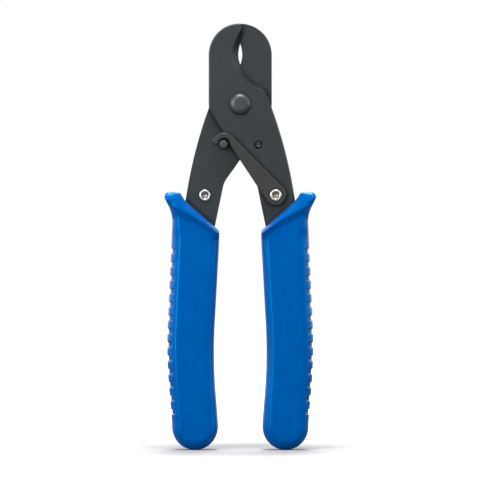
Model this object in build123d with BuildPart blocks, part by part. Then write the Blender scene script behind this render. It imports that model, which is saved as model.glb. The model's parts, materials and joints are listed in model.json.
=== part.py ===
from build123d import *
import os
from math import acos, atan2, cos, degrees, hypot, radians, sin

# Hand cable cutter, closed and latched. The jaws point up (+Z) and the front faces -Y.
# The origin lies on the floor between the ends of the two grips. All sizes are in millimetres.

# Main lengths, from the grips' ends up to the tips of the jaws
grip_length = 99.7
guard_to_pivot = 34.0
head_radius = 12.2
head_centre_height = 19.1
pivot_z = grip_length + guard_to_pivot

# Blades, both punched from one blank and laid face to face
blade_thickness = 3.0
blade_gap = 0.1
blade_edge_chamfer = 0.45
shear_bevel_reach = 0.3
mating_y = blade_gap / 2
outer_face_y = mating_y + blade_thickness

# Outline of the blank, from the pivot: X to the right and Z up
side_foot_drop = 1.4
shoulder_bow = (17.6, -19.0)
shoulder_end = (21.1, -36.6)
tang_outer_mouth = (22.3, -43.5)
tang_inner_mouth = (10.4, -50.0)
tang_end_x = 18.6
tang_end_height = 34.0
tang_end_radius = 3.6
knee = (6.27, -30.03)
knee_radius = 9.0
heel_bow = (-3.42, -16.13)
heel_corner_radius = 5.0
tang_chamfer = 1.0
tang_chamfer_start = 1.8
tang_chamfer_length = 24.0
chamfer_margin = 0.3

# Throat, from the head's centre and in head radii: its shear edge, where the two blades meet,
# and the bevel's edge on the outer face
shoulder_top_ratio = (0.82, -1.221)
edge_corner_ratio = (0.775, -1.098)
edge_run_ratio = [
    (0.672, -0.984),
    (0.328, -0.762),
    (0.143, -0.549),
    (-0.004, -0.279),
    (-0.057, 0.041),
    (0.0, 0.352),
    (0.09, 0.697),
]
edge_nose_ratio = (0.045, 0.861)
bevel_corner_ratio = (0.799, -1.172)
bevel_run_ratio = [
    (0.754, -1.139),
    (0.475, -1.049),
    (0.189, -0.885),
    (-0.189, -0.459),
    (-0.287, -0.008),
    (-0.139, 0.541),
    (0.027, 0.836),
]
bevel_nose_ratio = (0.0, 0.918)
tip_offset = -0.7
tip_overshoot = 1.2

# Pivot rivet, its washer and the spring round it
pivot_shank_diameter = 6.0
pivot_clearance = 0.05
pivot_head_diameter = 8.6
pivot_head_flat_diameter = 6.4
pivot_head_height = 1.4
pivot_head_edge = 0.6
pivot_washer_diameter = 10.4
pivot_washer_thickness = 0.8
pivot_peen_height = 1.1
pivot_peen_flat_diameter = 4.6
seat_gap = 0.03
spring_wire = 1.2
spring_mean_radius = 4.4
spring_start_angle = 215.0
spring_sweep = 290.0
spring_pocket_radius = 5.7
spring_pocket_depth = 0.9
spring_prong = 1.2
spring_prong_clearance = 0.1

# Rivets in the tangs, with rolled hollow ends towards the front
tang_rivet_x = 13.7
tang_rivet_below_guard = 1.2
tang_rivet_shank_diameter = 3.2
tang_rivet_clearance = 0.05
tang_rivet_ring_diameter = 4.7
tang_rivet_bore_diameter = 2.6
tang_rivet_ring_height = 0.6
tang_rivet_ring_roll = 0.3
tang_rivet_bore_depth = 1.3
tang_rivet_dish = 0.35
tang_rivet_head_diameter = 5.4
tang_rivet_head_height = 0.8
tang_rivet_head_edge = 0.3

# Latch pin in the rear blade and stop pin in the front blade, from the pivot
latch_pin_place = (-6.4, -15.6)
latch_pin_diameter = 3.1
stop_pin_place = (7.0, -15.8)
stop_pin_diameter = 4.3
pin_spigot_diameter = 2.4
pin_fit = 0.02
pin_end_chamfer = 0.35
pin_recess_diameter = 3.5
pin_recess_depth = 0.5
pin_dimple_diameter = 1.2
pin_dimple_depth = 0.3
latch_pin_proud = 0.45

# Latch: a bar with a round end on its rivet and a hook over the latch pin
latch_thickness = 1.8
latch_washer_thickness = 0.4
latch_washer_diameter = 6.4
latch_end_radius = 4.0
hook_shift = (0.12, 0.12)
hook_inner_radius = 2.25
hook_outer_radius = 4.4
hook_tip_angle = 166.0
hook_root_angle = -5.0
latch_edge_chamfer = 0.3

# Grips: moulded sleeves with a flared guard, finger grooves and a round end
grip_half_thickness = 5.7
guard_half_thickness = 6.5
guard_foot_swell = 0.05
guard_ear_fall = 0.2
guard_crown_fall = 0.3
grip_edge_radius = 4.0
grip_end_radius = 8.9
grip_end_x = 17.5
sleeve_bulge_height = 36.0
sleeve_outer_bulge_x = 28.3
sleeve_inner_bulge_x = 10.35
sleeve_bulge_radius = 60.0
sleeve_outer_top_x = 26.55
sleeve_inner_top_x = 8.25
sleeve_top_drop = 20.7
sleeve_neck_drop = 22.2
pocket_clearance = 0.05
groove_pitch = 5.18
groove_first_drop = 22.8
groove_lowest_height = 14.0
groove_width = 2.1
groove_depth = 0.5
groove_half_reach = 4.7

# Guard: sections that tilt and flare up to the ear, each by its inner and outer end as X and
# drop below the ear's top, its half thickness and its corner radius; then its crown's outline
guard_sections = [
    ((8.25, 20.7), (26.55, 20.7), grip_half_thickness, grip_edge_radius),
    ((8.1, 17.7), (26.2, 12.7), grip_half_thickness, grip_edge_radius),
    ((8.07, 16.6), (26.3, 9.0), grip_half_thickness + guard_foot_swell, 3.6),
    ((8.05, 15.0), (27.4, 6.1), guard_half_thickness, 2.6),
    ((8.05, 11.0), (29.6, 1.2), guard_half_thickness - guard_ear_fall, 2.0),
    ((8.05, 5.0), (31.6, -5.8), guard_half_thickness - guard_crown_fall, 1.8),
]
collar_inner = (8.07, 14.9)
collar_outer = (21.1, 3.6)
ear_inner_x = 23.5
ear_outer_x = 29.6
ear_corner_radius = 1.6
crown_edge_chamfer = 0.5

# Frames that sketches are drawn in: X to the right and Z up, as seen from the front
mating_plane = Plane(origin=(0, -mating_y, pivot_z), x_dir=(1, 0, 0), z_dir=(0, -1, 0))
middle_plane = Plane.XZ
tang_end_drop = tang_end_height - pivot_z
tang_rivet_place = (tang_rivet_x, -guard_to_pivot - tang_rivet_below_guard)
sleeve_top = grip_length - sleeve_top_drop


def turning_axis(place):
    """The front-to-back axis through a place that is given from the pivot."""
    return Axis((place[0], 0, pivot_z + place[1]), (0, 1, 0))


def profile_plane(place):
    """A plane through that axis, for profiles of radius and depth."""
    return Plane(origin=(place[0], 0, pivot_z + place[1]), x_dir=(1, 0, 0), z_dir=(0, 0, 1))


def polar(centre, radius, angle):
    """A point at a distance and an angle in degrees from a centre."""
    return (centre[0] + radius * cos(radians(angle)), centre[1] + radius * sin(radians(angle)))


def blank_face(clearance=0.0):
    """The blank's outline before its throat is cut, grown by a clearance."""
    head_left = (-head_radius, head_centre_height)
    head_right = (head_radius, head_centre_height)
    side_foot = (head_radius, -side_foot_drop)
    heel_top = (-head_radius, -side_foot_drop)
    end_centre = (tang_end_x, tang_end_drop)
    end_outer = (tang_end_x + tang_end_radius, tang_end_drop)
    end_inner = (tang_end_x - tang_end_radius, tang_end_drop)
    with BuildSketch() as face:
        with BuildLine():
            ThreePointArc(head_left, (0, head_centre_height + head_radius), head_right)
            Line(head_right, side_foot)
            ThreePointArc(side_foot, shoulder_bow, shoulder_end)
            Polyline(shoulder_end, tang_outer_mouth, end_outer)
            ThreePointArc(end_outer, polar(end_centre, tang_end_radius, -90), end_inner)
            Polyline(end_inner, tang_inner_mouth, knee)
            ThreePointArc(knee, heel_bow, heel_top)
            Line(heel_top, head_left)
        make_face()
        fillet(face.vertices().sort_by_distance((knee[0], knee[1], 0))[0], knee_radius)
        fillet(face.vertices().sort_by_distance((heel_top[0], heel_top[1], 0))[0], heel_corner_radius)
        if clearance:
            offset(amount=clearance, kind=Kind.INTERSECTION)
    return face.sketch


def in_head(point):
    """A point given from the head's centre in head radii."""
    return (point[0] * head_radius, head_centre_height + point[1] * head_radius)


def throat_face(corner, run, nose):
    """The open throat's outline: what the blade lacks to the right of its shear edge."""
    side_foot = (head_radius, -side_foot_drop)
    shoulder = in_head(shoulder_top_ratio)
    path = [in_head(point) for point in run]
    top = head_centre_height + head_radius + tip_overshoot
    outside = head_radius + tip_overshoot
    with BuildSketch() as face:
        with BuildLine():
            Polyline((outside, -side_foot_drop), side_foot, shoulder)
            ThreePointArc(shoulder, in_head(corner), path[0])
            Spline(path)
            ThreePointArc(path[-1], in_head(nose), (tip_offset, top))
            Polyline((tip_offset, top), (outside, top), (outside, -side_foot_drop))
        make_face()
    return face.sketch


def tang_edge_plane():
    """A plane across the tang's inner edge just below the knee, with its depth along local Y."""
    run_x = tang_inner_mouth[0] - knee[0]
    run_z = tang_inner_mouth[1] - knee[1]
    length = hypot(run_x, run_z)
    along = (run_x / length, 0, run_z / length)
    start_x = knee[0] + along[0] * tang_chamfer_start
    start_z = pivot_z + knee[1] + along[2] * tang_chamfer_start
    return Plane(origin=(start_x, -outer_face_y, start_z), x_dir=(along[2], 0, -along[0]), z_dir=along)


def tubular_rivet(place, ring_seat, head_seat):
    """A rivet with a rolled hollow end that seats in front and a low head that seats behind."""
    shank = tang_rivet_shank_diameter / 2
    ring = tang_rivet_ring_diameter / 2
    bore = tang_rivet_bore_diameter / 2
    head = tang_rivet_head_diameter / 2
    crown = ring_seat - tang_rivet_ring_height
    floor = crown + tang_rivet_bore_depth
    head_end = head_seat + tang_rivet_head_height
    with BuildPart() as rivet:
        with BuildSketch(profile_plane(place)):
            with BuildLine():
                Polyline(
                    (0, floor),
                    (bore, floor - tang_rivet_dish),
                    (bore, crown + tang_rivet_ring_roll),
                    (bore + tang_rivet_ring_roll, crown),
                    (ring - tang_rivet_ring_roll, crown),
                    (ring, crown + tang_rivet_ring_roll),
                    (ring, ring_seat),
                    (shank, ring_seat),
                    (shank, head_seat),
                    (head, head_seat),
                    (head, head_end - tang_rivet_head_edge),
                    (head - tang_rivet_head_edge, head_end),
                    (0, head_end),
                    (0, floor),
                )
            make_face()
        revolve(axis=turning_axis(place))
    return rivet.part


def from_top(point):
    """A point of the grip given by its X and its drop below the top of the ear."""
    return (point[0], grip_length - point[1])


def sleeve_face(inset=0.0):
    """The grip's outline from its round end up to the guard, drawn in at the sides by an inset."""
    end_radius = grip_end_radius - inset
    outer_end = (grip_end_x + end_radius, grip_end_radius)
    inner_end = (grip_end_x - end_radius, grip_end_radius)
    outer_bulge = (sleeve_outer_bulge_x - inset, sleeve_bulge_height)
    inner_bulge = (sleeve_inner_bulge_x + inset, sleeve_bulge_height)
    outer_top = (sleeve_outer_top_x - inset, sleeve_top)
    inner_top = (sleeve_inner_top_x + inset, sleeve_top)
    outer_neck = (outer_top[0], grip_length - sleeve_neck_drop)
    inner_neck = (inner_top[0], grip_length - sleeve_neck_drop)
    with BuildSketch() as face:
        with BuildLine():
            ThreePointArc(inner_end, (grip_end_x, inset), outer_end)
            Polyline(outer_end, outer_bulge, outer_neck, outer_top)
            Polyline(outer_top, inner_top, inner_neck, inner_bulge, inner_end)
        make_face()
        for corner in (outer_bulge, inner_bulge):
            fillet(face.vertices().sort_by_distance((corner[0], corner[1], 0))[0], sleeve_bulge_radius)
    return face.sketch


def sleeve_body(inset=0.0):
    """The sleeve with rounded long edges, which stay sharp only where it meets the guard."""
    with BuildPart() as body:
        with BuildSketch(middle_plane):
            add(sleeve_face(inset))
        extrude(amount=grip_half_thickness, both=True)
        face_edges = body.faces().filter_by(Axis.Y).edges()
        long_edges = face_edges.filter_by(lambda edge: edge.center().Z < sleeve_top - seat_gap)
        fillet(long_edges, grip_edge_radius - inset)
    return body.part


def section_plane(inner, outer):
    """A plane across the grip through two points of its middle plane, facing up."""
    run_x = outer[0] - inner[0]
    run_z = outer[1] - inner[1]
    middle = ((inner[0] + outer[0]) / 2, 0, (inner[1] + outer[1]) / 2)
    return Plane(origin=middle, x_dir=(run_x, 0, run_z), z_dir=(-run_z, 0, run_x))


# Levels in front of the middle plane, from the blade's face out to the rivet's ring
latch_back = outer_face_y + latch_washer_thickness + 2 * seat_gap
latch_front = latch_back + latch_thickness
latch_pin_end = latch_front + latch_pin_proud

# Blade blank, as the front blade lies: rounded plate, chamfered tang, bevelled shear throat
with BuildPart() as throat:
    with BuildSketch(mating_plane.offset(blade_thickness + shear_bevel_reach)):
        add(throat_face(bevel_corner_ratio, bevel_run_ratio, bevel_nose_ratio))
    with BuildSketch(mating_plane.offset(-mating_y)):
        add(throat_face(edge_corner_ratio, edge_run_ratio, edge_nose_ratio))
    loft(ruled=True)

with BuildPart() as blank:
    with BuildSketch(mating_plane):
        add(blank_face())
    extrude(amount=blade_thickness)
    chamfer(blank.faces().sort_by(Axis.Y)[0].outer_wire().edges(), blade_edge_chamfer)
    with BuildSketch(tang_edge_plane()):
        with BuildLine():
            Polyline(
                (-tang_chamfer - chamfer_margin, -chamfer_margin),
                (chamfer_margin, tang_chamfer + chamfer_margin),
                (chamfer_margin, -chamfer_margin),
                close=True,
            )
        make_face()
    extrude(amount=tang_chamfer_length, mode=Mode.SUBTRACT)
    add(throat.part, mode=Mode.SUBTRACT)
    with BuildSketch(mating_plane):
        Circle(pivot_shank_diameter / 2 + pivot_clearance)
    extrude(amount=blade_thickness, mode=Mode.SUBTRACT)
    with BuildSketch(mating_plane):
        Circle(spring_pocket_radius)
    extrude(amount=spring_pocket_depth, mode=Mode.SUBTRACT)
    with BuildSketch(mating_plane):
        with Locations(tang_rivet_place):
            Circle(tang_rivet_shank_diameter / 2 + tang_rivet_clearance)
    extrude(amount=blade_thickness, mode=Mode.SUBTRACT)

# Return spring: an open ring of square wire in the pockets, its ends bent into holes in their floors
pocket_floor_y = mating_y + spring_pocket_depth
prong_length = pocket_floor_y + spring_prong
prong_hole_radius = hypot(spring_wire, spring_wire) / 2 + spring_prong_clearance


def spring_end_plane(angle, depth_sign):
    """A plane across the prong at an end of the ring, facing the front (-1) or the back (1)."""
    end_x, end_z = polar((0, pivot_z), spring_mean_radius, angle)
    radial = polar((0, 0), 1, angle)
    return Plane(origin=(end_x, 0, end_z), x_dir=(radial[0], 0, radial[1]), z_dir=(0, depth_sign, 0))


front_prong = spring_end_plane(spring_start_angle, -1)
rear_prong = spring_end_plane(spring_start_angle - spring_sweep, 1)
ring_start = polar((0, 0), 1, spring_start_angle)
ring_plane = Plane(
    origin=(0, 0, pivot_z),
    x_dir=(ring_start[0], 0, ring_start[1]),
    z_dir=(-ring_start[1], 0, ring_start[0]),
)
with BuildPart() as return_spring:
    with BuildSketch(ring_plane):
        with Locations((spring_mean_radius, 0)):
            Rectangle(spring_wire, spring_wire)
    revolve(axis=turning_axis((0, 0)), revolution_arc=spring_sweep)
    for prong in (front_prong, rear_prong):
        with BuildSketch(prong.offset(-spring_wire / 2)):
            Rectangle(spring_wire, spring_wire)
        extrude(amount=prong_length + spring_wire / 2)

# Front blade: left jaw and right tang in one, with the stop pin's stepped hole
with BuildPart() as front_blade:
    add(blank.part)
    with BuildSketch(front_prong):
        Circle(prong_hole_radius)
    extrude(amount=prong_length + spring_prong_clearance, mode=Mode.SUBTRACT)
    with BuildSketch(mating_plane):
        with Locations(stop_pin_place):
            Circle(pin_spigot_diameter / 2 + pin_fit)
    extrude(amount=blade_thickness, mode=Mode.SUBTRACT)
    with BuildSketch(mating_plane.offset(blade_thickness)):
        with Locations(stop_pin_place):
            Circle(pin_recess_diameter / 2)
    extrude(amount=-pin_recess_depth, mode=Mode.SUBTRACT)

# Rear blade: the same blank turned round, with the latch pin's plain hole
with BuildPart() as rear_blade:
    add(blank.part.rotate(Axis.Z, 180))
    with BuildSketch(rear_prong):
        Circle(prong_hole_radius)
    extrude(amount=prong_length + spring_prong_clearance, mode=Mode.SUBTRACT)
    with BuildSketch(mating_plane):
        with Locations(latch_pin_place):
            Circle(pin_spigot_diameter / 2 + pin_fit)
    extrude(amount=-blade_gap - blade_thickness, mode=Mode.SUBTRACT)

# Pivot rivet: broad low head in front, plain shank, peened over a washer behind
washer_front_y = outer_face_y + seat_gap
peen_seat_y = washer_front_y + pivot_washer_thickness + seat_gap
with BuildPart() as pivot_rivet:
    with BuildSketch(profile_plane((0, 0))):
        with BuildLine():
            head_seat_y = -outer_face_y - seat_gap
            head_top_y = head_seat_y - pivot_head_height
            rim = pivot_head_diameter / 2
            shank = pivot_shank_diameter / 2
            Polyline(
                (0, head_top_y),
                (pivot_head_flat_diameter / 2, head_top_y),
                (rim, head_top_y + pivot_head_edge),
                (rim, head_seat_y),
                (shank, head_seat_y),
                (shank, peen_seat_y),
                (rim, peen_seat_y),
                (pivot_peen_flat_diameter / 2, peen_seat_y + pivot_peen_height),
                (0, peen_seat_y + pivot_peen_height),
                close=True,
            )
        make_face()
    revolve(axis=turning_axis((0, 0)))

with BuildPart() as pivot_washer:
    with BuildSketch(Plane(origin=(0, washer_front_y, pivot_z), x_dir=(1, 0, 0), z_dir=(0, 1, 0))):
        Circle(pivot_washer_diameter / 2)
        Circle(pivot_shank_diameter / 2 + pivot_clearance, mode=Mode.SUBTRACT)
    extrude(amount=pivot_washer_thickness)

# Hollow-ended rivets: one carries the latch, its twin fills the same hole of the rear blade
with BuildPart() as latch_rivet:
    add(tubular_rivet(tang_rivet_place, -latch_front - seat_gap, -mating_y + seat_gap))

with BuildPart() as tang_rivet:
    add(tubular_rivet((-tang_rivet_place[0], tang_rivet_place[1]), mating_y - seat_gap, outer_face_y + seat_gap))

with BuildPart() as latch_washer:
    with BuildSketch(mating_plane.offset(blade_thickness + seat_gap)):
        with Locations(tang_rivet_place):
            Circle(latch_washer_diameter / 2)
            Circle(tang_rivet_shank_diameter / 2 + tang_rivet_clearance, mode=Mode.SUBTRACT)
    extrude(amount=latch_washer_thickness)

# Latch pin: a post that stands forward from the rear blade beside the front blade's heel
with BuildPart() as latch_pin:
    with BuildSketch(profile_plane(latch_pin_place)):
        with BuildLine():
            post = latch_pin_diameter / 2
            spigot = pin_spigot_diameter / 2
            Polyline(
                (0, -latch_pin_end),
                (post - pin_end_chamfer, -latch_pin_end),
                (post, pin_end_chamfer - latch_pin_end),
                (post, mating_y),
                (spigot, mating_y),
                (spigot, outer_face_y),
                (0, outer_face_y),
                close=True,
            )
        make_face()
    revolve(axis=turning_axis(latch_pin_place))

# Stop pin: a thick post behind the front blade, its spigot riveted into the recess in front
with BuildPart() as stop_pin:
    with BuildSketch(profile_plane(stop_pin_place)):
        with BuildLine():
            post = stop_pin_diameter / 2
            spigot = pin_spigot_diameter / 2
            dimple = pin_dimple_diameter / 2
            Polyline(
                (0, pin_dimple_depth - outer_face_y),
                (dimple, -outer_face_y),
                (spigot - pin_end_chamfer, -outer_face_y),
                (spigot, pin_end_chamfer - outer_face_y),
                (spigot, -mating_y),
                (post, -mating_y),
                (post, outer_face_y - pin_end_chamfer),
                (post - pin_end_chamfer, outer_face_y),
                (0, outer_face_y),
                close=True,
            )
        make_face()
    revolve(axis=turning_axis(stop_pin_place))

# Latch: the hook's ring runs over the pin, and two tangents close the bar round its rivet
hook_centre = (latch_pin_place[0] + hook_shift[0], latch_pin_place[1] + hook_shift[1])
bar_x = tang_rivet_place[0] - hook_centre[0]
bar_z = tang_rivet_place[1] - hook_centre[1]
bar_angle = degrees(atan2(bar_z, bar_x))
upper_angle = bar_angle + degrees(acos((hook_outer_radius - latch_end_radius) / hypot(bar_x, bar_z)))
hook_root = polar(hook_centre, hook_inner_radius, hook_root_angle)
root_x = hook_root[0] - tang_rivet_place[0]
root_z = hook_root[1] - tang_rivet_place[1]
lower_angle = degrees(atan2(root_z, root_x) + acos(latch_end_radius / hypot(root_x, root_z)))
hook_tip_radius = (hook_outer_radius - hook_inner_radius) / 2
hook_tip_centre = polar(hook_centre, hook_inner_radius + hook_tip_radius, hook_tip_angle)
with BuildPart() as latch:
    with BuildSketch(mating_plane.offset(latch_back - mating_y)):
        with BuildLine():
            upper_end = polar(tang_rivet_place, latch_end_radius, upper_angle)
            lower_end = polar(tang_rivet_place, latch_end_radius, lower_angle)
            hook_start = polar(hook_centre, hook_outer_radius, upper_angle)
            tip_outer = polar(hook_centre, hook_outer_radius, hook_tip_angle)
            tip_inner = polar(hook_centre, hook_inner_radius, hook_tip_angle)
            Line(upper_end, hook_start)
            ThreePointArc(hook_start, polar(hook_centre, hook_outer_radius, 90), tip_outer)
            ThreePointArc(tip_outer, polar(hook_tip_centre, hook_tip_radius, hook_tip_angle + 90), tip_inner)
            ThreePointArc(tip_inner, polar(hook_centre, hook_inner_radius, 90), hook_root)
            Line(hook_root, lower_end)
            ThreePointArc(lower_end, polar(tang_rivet_place, latch_end_radius, bar_angle), upper_end)
        make_face()
    extrude(amount=latch_thickness)
    chamfer(latch.faces().sort_by(Axis.Y)[0].outer_wire().edges(), latch_edge_chamfer)
    with BuildSketch(mating_plane):
        with Locations(tang_rivet_place):
            Circle(tang_rivet_shank_diameter / 2 + tang_rivet_clearance)
    extrude(amount=latch_front, mode=Mode.SUBTRACT)

# Finger grooves: what lies outside the sleeve's shrunken core, in a row of slots
groove_x = sleeve_outer_top_x + grip_edge_radius / 2
groove_run = grip_length - groove_first_drop - groove_lowest_height
groove_count = int(groove_run / groove_pitch) + 1
groove_heights = [grip_length - groove_first_drop - n * groove_pitch for n in range(groove_count)]
with BuildPart() as grooves:
    with Locations(*[(groove_x, 0, height) for height in groove_heights]):
        Box(3 * grip_edge_radius, 2 * groove_half_reach, groove_width)
    add(sleeve_body(groove_depth), mode=Mode.SUBTRACT)

# Right grip: the flared guard is cut off along its crown, then joins the grooved sleeve
collar_slope = (collar_inner[1] - collar_outer[1]) / (collar_outer[0] - collar_inner[0])
crown_far_x = guard_sections[-1][1][0] + grip_edge_radius
ear_foot_drop = ear_corner_radius + crown_edge_chamfer
with BuildPart() as right_grip:
    for inner, outer, half_thickness, corner_radius in guard_sections:
        with BuildSketch(section_plane(from_top(inner), from_top(outer))):
            width = hypot(outer[0] - inner[0], outer[1] - inner[1])
            RectangleRounded(width, 2 * half_thickness, corner_radius)
    loft()
    with BuildSketch(middle_plane) as crown:
        with BuildLine():
            Polyline(
                from_top((0, collar_inner[1] + collar_slope * collar_inner[0])),
                from_top(collar_outer),
                from_top((ear_inner_x, 0)),
                from_top((ear_outer_x, 0)),
                from_top((ear_outer_x, ear_foot_drop)),
                from_top((crown_far_x, ear_foot_drop)),
                from_top((crown_far_x, -2 * grip_edge_radius)),
                from_top((0, -2 * grip_edge_radius)),
                close=True,
            )
        make_face()
        fillet(crown.vertices().sort_by_distance((ear_outer_x, grip_length, 0))[0], ear_corner_radius)
    extrude(amount=2 * guard_half_thickness, both=True, mode=Mode.SUBTRACT)
    chamfer(right_grip.edges(Select.LAST), crown_edge_chamfer)
    add(sleeve_body())
    add(grooves.part, mode=Mode.SUBTRACT)
    with BuildSketch(mating_plane.offset(-pocket_clearance)):
        add(blank_face(pocket_clearance))
    extrude(amount=blade_thickness + 2 * pocket_clearance, mode=Mode.SUBTRACT)

with BuildPart() as left_grip:
    add(right_grip.part.rotate(Axis.Z, 180))

# Each finished piece goes into its own file
pieces = {
    "front_blade": front_blade,
    "rear_blade": rear_blade,
    "pivot_rivet": pivot_rivet,
    "pivot_washer": pivot_washer,
    "return_spring": return_spring,
    "latch": latch,
    "latch_rivet": latch_rivet,
    "latch_washer": latch_washer,
    "latch_pin": latch_pin,
    "stop_pin": stop_pin,
    "tang_rivet": tang_rivet,
    "left_grip": left_grip,
    "right_grip": right_grip,
}
os.makedirs("parts", exist_ok=True)
for name, piece in pieces.items():
    piece.part.label = name
    export_step(piece.part, f"parts/{name}.step")
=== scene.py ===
"""Looks of a hand cable cutter with blue moulded grips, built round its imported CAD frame.

The frame is the photo's own: +Z from the grips up to the jaw tips, -Y the front, metres. Sizes
of the pieces made here are in millimetres and are turned into metres where a mesh is written.
"""

import json
import logging
import math
from dataclasses import dataclass, replace
from enum import Enum

import bpy
import numpy as np
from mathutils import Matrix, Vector, geometry

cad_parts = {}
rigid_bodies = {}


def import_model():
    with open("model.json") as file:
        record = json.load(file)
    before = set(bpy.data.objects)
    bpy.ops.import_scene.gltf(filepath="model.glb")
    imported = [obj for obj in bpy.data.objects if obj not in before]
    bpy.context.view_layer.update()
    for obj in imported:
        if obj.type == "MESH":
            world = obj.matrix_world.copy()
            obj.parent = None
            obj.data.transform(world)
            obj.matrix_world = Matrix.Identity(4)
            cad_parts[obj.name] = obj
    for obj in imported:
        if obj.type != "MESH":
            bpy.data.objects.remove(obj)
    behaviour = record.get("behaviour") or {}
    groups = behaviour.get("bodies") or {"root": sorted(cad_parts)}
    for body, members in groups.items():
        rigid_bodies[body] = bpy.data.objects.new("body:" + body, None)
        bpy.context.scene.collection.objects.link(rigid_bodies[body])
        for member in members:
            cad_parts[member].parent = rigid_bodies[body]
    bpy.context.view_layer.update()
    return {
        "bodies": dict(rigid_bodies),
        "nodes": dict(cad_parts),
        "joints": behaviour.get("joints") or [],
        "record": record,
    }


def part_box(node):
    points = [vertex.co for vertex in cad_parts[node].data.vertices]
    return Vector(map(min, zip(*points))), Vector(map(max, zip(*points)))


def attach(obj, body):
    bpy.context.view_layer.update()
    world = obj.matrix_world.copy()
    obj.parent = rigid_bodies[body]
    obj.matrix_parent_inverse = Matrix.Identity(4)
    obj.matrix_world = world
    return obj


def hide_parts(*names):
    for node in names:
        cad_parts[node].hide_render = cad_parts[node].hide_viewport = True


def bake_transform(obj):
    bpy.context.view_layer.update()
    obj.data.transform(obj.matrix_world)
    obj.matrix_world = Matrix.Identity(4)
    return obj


MM = 0.001
LOG = logging.getLogger("cable_cutter")

Place = tuple[float, float, float]
Face = tuple[int, ...]
Socket = bpy.types.NodeSocket
Tree = bpy.types.NodeTree


# Paths made of straight runs and round corners


@dataclass(frozen=True)
class Corner:
    """A corner of a path.

    Attributes:
        x: First coordinate in millimetres.
        z: Second coordinate in millimetres.
        radius: Radius of the arc that rounds the corner, or 0.
        roll: Radius of the long edge that rolls over there, for an outline that has one.
        step: Spacing of samples on the run that starts at this corner.
    """

    x: float
    z: float
    radius: float = 0.0
    roll: float = 0.0
    step: float = 1.0


@dataclass(frozen=True)
class Sample:
    """A point of a path, in millimetres.

    Attributes:
        x: First coordinate.
        z: Second coordinate.
        heading_x: First coordinate of the unit vector along the path.
        heading_z: Second coordinate of that vector.
        roll: Radius of the long edge that rolls over there.
    """

    x: float
    z: float
    heading_x: float
    heading_z: float
    roll: float

    def distance(self, other: "Sample") -> float:
        """Returns the distance to another sample."""
        return math.dist((self.x, self.z), (other.x, other.z))


class RoundedPath:
    """A path through corners, each rounded by an arc."""

    # An arc has at least so many steps, and none of them turns by more radians than this
    LEAST_STEPS = 2
    LARGEST_TURN = 0.2
    # Two neighbours nearer than this, in millimetres, are one sample
    SAME_PLACE = 0.001

    def __init__(self, corners: list[Corner], closed: bool, arc_step: float) -> None:
        """Keeps the corners.

        Args:
            corners: The corners in order.
            closed: Whether the last corner joins the first.
            arc_step: Largest spacing of samples on an arc, in millimetres.
        """
        self.corners = corners
        self.places = [np.array((corner.x, corner.z)) for corner in corners]
        self.closed = closed
        self.arc_step = arc_step

    def samples(self) -> list[Sample]:
        """Walks the path.

        Returns:
            Samples along arcs and runs, in order, with no two neighbours at one place.
        """
        count = len(self.corners)
        found: list[Sample] = []
        spans = [self._arc(index) for index in range(count)]
        for index, corner in enumerate(self.corners):
            found.extend(spans[index])
            if index == count - 1 and not self.closed:
                break
            following = spans[(index + 1) % count]
            found.extend(self._run(spans[index][-1], following[0], corner.step))
        return [
            sample
            for number, sample in enumerate(found)
            if sample.distance(found[number - 1]) > self.SAME_PLACE
        ]

    def _arc(self, index: int) -> list[Sample]:
        """Rounds one corner.

        Args:
            index: Number of the corner.

        Returns:
            Samples along its arc, or the one sample at an end of an open path.
        """
        corner = self.corners[index]
        here = self.places[index]
        count = len(self.places)
        if not self.closed and index in (0, count - 1):
            heading = self.places[1] - here if index == 0 else here - self.places[-2]
            heading = heading / np.linalg.norm(heading)
            return [Sample(here[0], here[1], heading[0], heading[1], corner.roll)]
        before = self.places[index - 1]
        after = self.places[(index + 1) % count]
        arriving = (here - before) / np.linalg.norm(here - before)
        leaving = (after - here) / np.linalg.norm(after - here)
        cross = arriving[0] * leaving[1] - arriving[1] * leaving[0]
        turn = math.atan2(cross, float(arriving @ leaving))
        start = here - arriving * corner.radius * math.tan(abs(turn) / 2)
        steps = max(
            self.LEAST_STEPS,
            math.ceil(corner.radius * abs(turn) / self.arc_step),
            math.ceil(abs(turn) / self.LARGEST_TURN),
        )
        side = math.copysign(1.0, turn)
        centre = start + side * corner.radius * np.array((-arriving[1], arriving[0]))
        found = []
        for number in range(steps + 1):
            heading = rotated(arriving, turn * number / steps)
            place = centre - side * corner.radius * np.array((-heading[1], heading[0]))
            found.append(Sample(place[0], place[1], heading[0], heading[1], corner.roll))
        return found

    @staticmethod
    def _run(start: Sample, end: Sample, step: float) -> list[Sample]:
        """Divides the straight run between two arcs.

        Args:
            start: Last sample of the first arc.
            end: First sample of the next arc.
            step: Largest spacing in millimetres.

        Returns:
            Samples strictly between the two.
        """
        steps = max(1, math.ceil(start.distance(end) / step))
        found = []
        for number in range(1, steps):
            share = number / steps
            found.append(
                Sample(
                    start.x + (end.x - start.x) * share,
                    start.z + (end.z - start.z) * share,
                    start.heading_x,
                    start.heading_z,
                    start.roll + (end.roll - start.roll) * eased(share),
                )
            )
        return found


def rotated(vector: np.ndarray, angle: float) -> np.ndarray:
    """Turns a flat vector by an angle in radians."""
    cosine, sine = math.cos(angle), math.sin(angle)
    return np.array((vector[0] * cosine - vector[1] * sine, vector[0] * sine + vector[1] * cosine))


def eased(share: float) -> float:
    """Makes a share from 0 to 1 start and end softly."""
    return share * share * (3 - 2 * share)


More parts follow.
